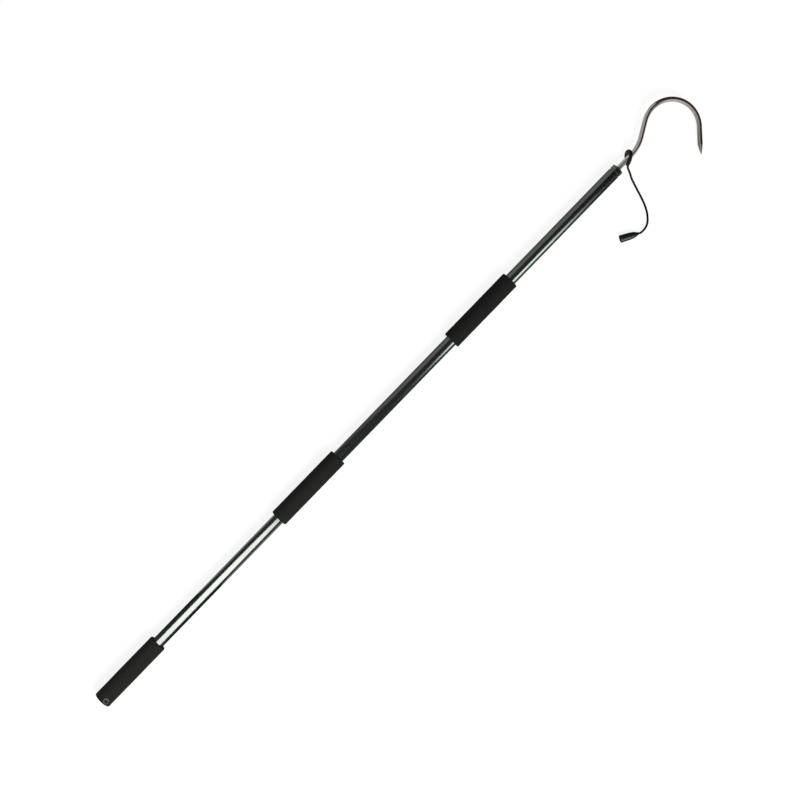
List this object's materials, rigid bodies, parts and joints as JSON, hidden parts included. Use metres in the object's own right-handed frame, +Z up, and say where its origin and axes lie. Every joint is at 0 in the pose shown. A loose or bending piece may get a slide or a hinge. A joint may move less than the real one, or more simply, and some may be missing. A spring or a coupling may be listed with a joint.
{
  "type": "fishing gaff",
  "caption": "Straight aluminium fishing gaff with foam grips, a bent stainless hook, and a soft point cap on a cord whose eye swivels on the hook's shank.",
  "frame": {"origin": "middle of the butt's flat end face, on the pole's axis", "axes": "+X along the pole towards the hook, +Z up from the ground that the gaff lies on, hook's point towards -Y"},
  "size_m": [1.2901, 0.1273, 0.0296],
  "materials": {
    "anodised_tube": "dark anodised, satin gloss",
    "grip_foam": "matte closed-cell foam",
    "plug_nylon": "moulded, slight gloss",
    "rivet_alloy": "plain, dulled",
    "hook_steel": "polished stainless wire",
    "guard_vinyl": "soft moulded vinyl, slight gloss"
  },
  "bodies": {
    "gaff": {"pole_tube": "anodised_tube", "grip_butt": "grip_foam", "grip_middle": "grip_foam", "grip_upper": "grip_foam", "butt_plug": "plug_nylon", "butt_rivet": "rivet_alloy", "head_plug": "plug_nylon", "shank_pin": "hook_steel", "hook": "hook_steel"},
    "point_guard": {"guard_eye": "guard_vinyl", "guard_cord": "guard_vinyl", "tip_cap": "guard_vinyl"}
  },
  "joints": [
    {"name": "guard_swivel", "type": "hinge", "parent": "gaff", "child": "point_guard", "pos_m": [1.162, 0, 0], "axis": [-1, 0, 0], "continuous": true}
  ]
}
